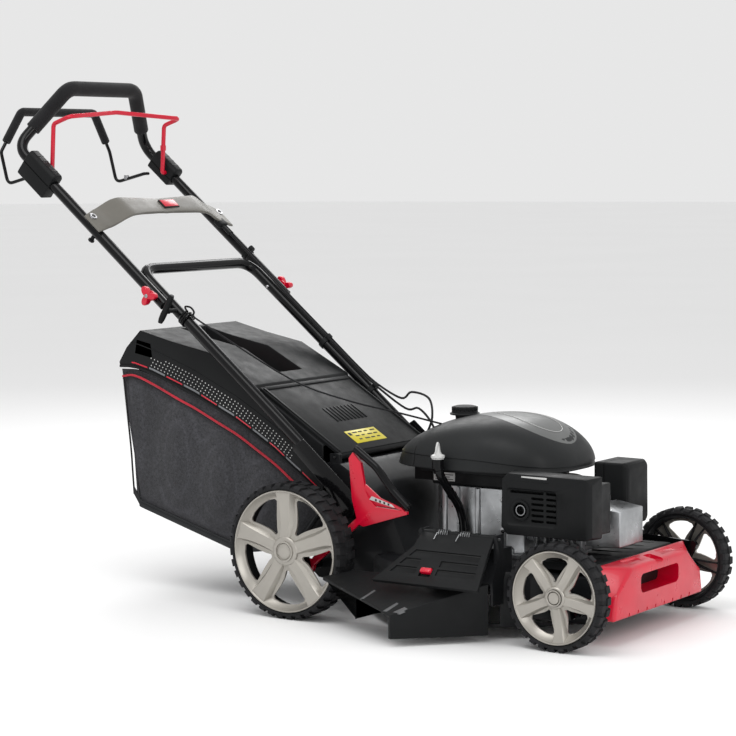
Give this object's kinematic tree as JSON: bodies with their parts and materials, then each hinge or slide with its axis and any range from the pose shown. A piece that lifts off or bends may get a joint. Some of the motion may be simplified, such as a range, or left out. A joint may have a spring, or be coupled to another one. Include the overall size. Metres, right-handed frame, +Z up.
{
  "type": "walk-behind lawn mower",
  "caption": "Walk-behind petrol rotary mower with rear grass catcher, side discharge chute, folding tubular handle with two bails and a height lever.",
  "frame": {"origin": "centre of the footprint on the ground", "axes": "+X forward, +Y to the machine's left, +Z up"},
  "size_m": [1.5708, 0.69, 1.0986],
  "materials": {
    "deck_black": "satin",
    "tube_black": "gloss",
    "plastic_black": "matt",
    "foam_black": "matt",
    "tyre_rubber": "matt",
    "red": "satin",
    "rim_silver": "satin",
    "aluminium": "satin",
    "steel": "satin",
    "console_grey": "satin",
    "cowl_grey": "satin",
    "bag_fabric": "matt",
    "white": "gloss",
    "rubber_belt": "matt",
    "red_paint": "satin"
  },
  "bodies": {
    "deck": {"deck_shell": "deck_black", "front_bumper": "red", "front_cover": "plastic_black", "handle_bracket_right": "deck_black", "handle_bracket_left": "deck_black", "lower_handle": "tube_black", "side_flap_pin": "steel", "rear_flap_pin": "steel", "crankcase": "aluminium", "cylinder_head": "aluminium", "muffler_guard": "plastic_black", "air_filter_box": "plastic_black", "carburettor": "aluminium", "fuel_tank": "plastic_black", "cowl": "cowl_grey", "dipstick_tube": "plastic_black", "gearbox": "aluminium", "drive_belt": "rubber_belt", "brake_cable": "foam_black", "drive_cable": "foam_black", "starter_rope": "foam_black"},
    "rear_axle": {"rear_axle": "steel", "height_lever": "red", "height_lever_grip": "plastic_black"},
    "front_axle": {"front_axle": "steel"},
    "height_link": {"height_link": "steel"},
    "rear_wheel_right": {"rear_tyre_right": "tyre_rubber", "rear_rim_right": "rim_silver"},
    "rear_wheel_left": {"rear_tyre_left": "tyre_rubber", "rear_rim_left": "rim_silver"},
    "front_wheel_right": {"front_tyre_right": "tyre_rubber", "front_rim_right": "rim_silver"},
    "front_wheel_left": {"front_tyre_left": "tyre_rubber", "front_rim_left": "rim_silver"},
    "crankshaft": {"crankshaft": "steel", "blade": "steel", "blade_bolt": "steel", "flywheel": "aluminium", "engine_pulley": "steel"},
    "gearbox_pulley": {"gearbox_pulley": "steel"},
    "side_flap": {"side_flap": "plastic_black"},
    "side_flap_latch": {"side_flap_latch": "red"},
    "side_chute": {"side_chute": "plastic_black"},
    "rear_flap": {"rear_flap": "plastic_black"},
    "catcher": {"catcher_lid": "plastic_black", "catcher_bag": "bag_fabric", "catcher_handle": "red"},
    "upper_handle": {"upper_handle": "tube_black", "foam_grip": "foam_black", "console_panel": "console_grey", "lever_housing_right": "plastic_black", "lever_housing_left": "plastic_black"},
    "stop_bail": {"stop_bail": "tube_black", "stop_bail_foam": "foam_black"},
    "drive_bail": {"drive_bail": "red_paint"},
    "knob_right": {"knob_right": "red"},
    "knob_left": {"knob_left": "red"},
    "starter_grip": {"starter_grip": "plastic_black"},
    "fuel_cap": {"fuel_cap": "plastic_black"},
    "dipstick_cap": {"dipstick_cap": "white"}
  },
  "joints": [
    {"name": "height_adjust", "type": "hinge", "parent": "deck", "child": "rear_axle", "pos_m": [0.07481, 0.055, 0.09811], "axis": [0, 1, 0], "range_deg": [-55, 0]},
    {"name": "front_height", "type": "hinge", "parent": "deck", "child": "front_axle", "pos_m": [0.68981, 0.055, 0.06311], "axis": [0, 1, 0], "range_deg": [-55, 0]},
    {"name": "link_swing", "type": "hinge", "parent": "rear_axle", "child": "height_link", "pos_m": [0.11406, 0.271, 0.1735], "axis": [0, 1, 0], "range_deg": [0, 55]},
    {"name": "rear_wheel_right_spin", "type": "hinge", "parent": "rear_axle", "child": "rear_wheel_right", "pos_m": [0.06786, -0.205, 0.1375], "axis": [0, 1, 0], "continuous": true},
    {"name": "front_wheel_right_spin", "type": "hinge", "parent": "front_axle", "child": "front_wheel_right", "pos_m": [0.68287, -0.203, 0.1025], "axis": [0, 1, 0], "continuous": true},
    {"name": "rear_wheel_left_spin", "type": "hinge", "parent": "rear_axle", "child": "rear_wheel_left", "pos_m": [0.06786, 0.315, 0.1375], "axis": [0, 1, 0], "continuous": true},
    {"name": "front_wheel_left_spin", "type": "hinge", "parent": "front_axle", "child": "front_wheel_left", "pos_m": [0.68287, 0.313, 0.1025], "axis": [0, 1, 0], "continuous": true},
    {"name": "blade_spin", "type": "hinge", "parent": "deck", "child": "crankshaft", "pos_m": [0.40286, 0.055, 0.045], "axis": [0, 0, 1], "continuous": true},
    {"name": "gearbox_pulley_spin", "type": "hinge", "parent": "deck", "child": "gearbox_pulley", "pos_m": [0.14286, 0.183, 0.084], "axis": [0, 0, 1], "continuous": true},
    {"name": "side_flap_lift", "type": "hinge", "parent": "deck", "child": "side_flap", "pos_m": [0.45487, -0.185, 0.196], "axis": [1, 0, 0], "range_deg": [-75, 0], "stiffness_Nm_per_rad": 0.4},
    {"name": "side_flap_latch_slide", "type": "slide", "parent": "side_flap", "child": "side_flap_latch", "axis": [0, -0.7226, -0.6912], "range_m": [0, 0.006], "stiffness_N_per_m": 400},
    {"name": "side_chute_slide", "type": "slide", "parent": "deck", "child": "side_chute", "axis": [0, -0.9063, -0.4226], "range_m": [0, 0.08]},
    {"name": "rear_flap_lift", "type": "hinge", "parent": "deck", "child": "rear_flap", "pos_m": [0.11187, 0.055, 0.318], "axis": [0, -1, 0], "range_deg": [-40, 0], "stiffness_Nm_per_rad": 1.5},
    {"name": "catcher_slide", "type": "slide", "parent": "deck", "child": "catcher", "axis": [0.9889, 0, -0.1483], "range_m": [-0.25, 0]},
    {"name": "handle_fold", "type": "hinge", "parent": "deck", "child": "upper_handle", "pos_m": [-0.31394, 0.055, 0.63856], "axis": [0, 1, 0], "range_deg": [0, 144], "deforming": ["brake_cable", "drive_cable"]},
    {"name": "stop_bail_squeeze", "type": "hinge", "parent": "upper_handle", "child": "stop_bail", "pos_m": [-0.67214, 0.055, 0.893], "axis": [0, 1, 0], "range_deg": [0, 30], "stiffness_Nm_per_rad": 1.5},
    {"name": "drive_bail_squeeze", "type": "hinge", "parent": "upper_handle", "child": "drive_bail", "pos_m": [-0.62213, 0.055, 0.895], "axis": [0, 1, 0], "range_deg": [-20, 0], "stiffness_Nm_per_rad": 1.5},
    {"name": "knob_right_turn", "type": "hinge", "parent": "deck", "child": "knob_right", "pos_m": [-0.31394, -0.18, 0.63856], "axis": [0, 1, 0], "range_deg": [-180, 180]},
    {"name": "knob_left_turn", "type": "hinge", "parent": "deck", "child": "knob_left", "pos_m": [-0.31394, 0.29, 0.63856], "axis": [0, 1, 0], "range_deg": [-180, 180]},
    {"name": "starter_pull", "type": "slide", "parent": "deck", "child": "starter_grip", "axis": [-0.5456, -0.7071, 0.4498], "range_m": [0, 0.25], "stiffness_N_per_m": 60},
    {"name": "fuel_cap_turn", "type": "hinge", "parent": "deck", "child": "fuel_cap", "pos_m": [0.31787, 0.055, 0.405], "axis": [0, 0, 1], "range_deg": [0, 90]},
    {"name": "dipstick_cap_turn", "type": "hinge", "parent": "deck", "child": "dipstick_cap", "pos_m": [0.35786, -0.11, 0.34], "axis": [0, 0, 1], "range_deg": [0, 180]}
  ],
  "couplings": [
    {"joint": "front_height", "follows": "height_adjust", "ratio": 1},
    {"joint": "link_swing", "follows": "height_adjust", "ratio": -1},
    {"joint": "gearbox_pulley_spin", "follows": "blade_spin", "ratio": 0.7647}
  ]
}
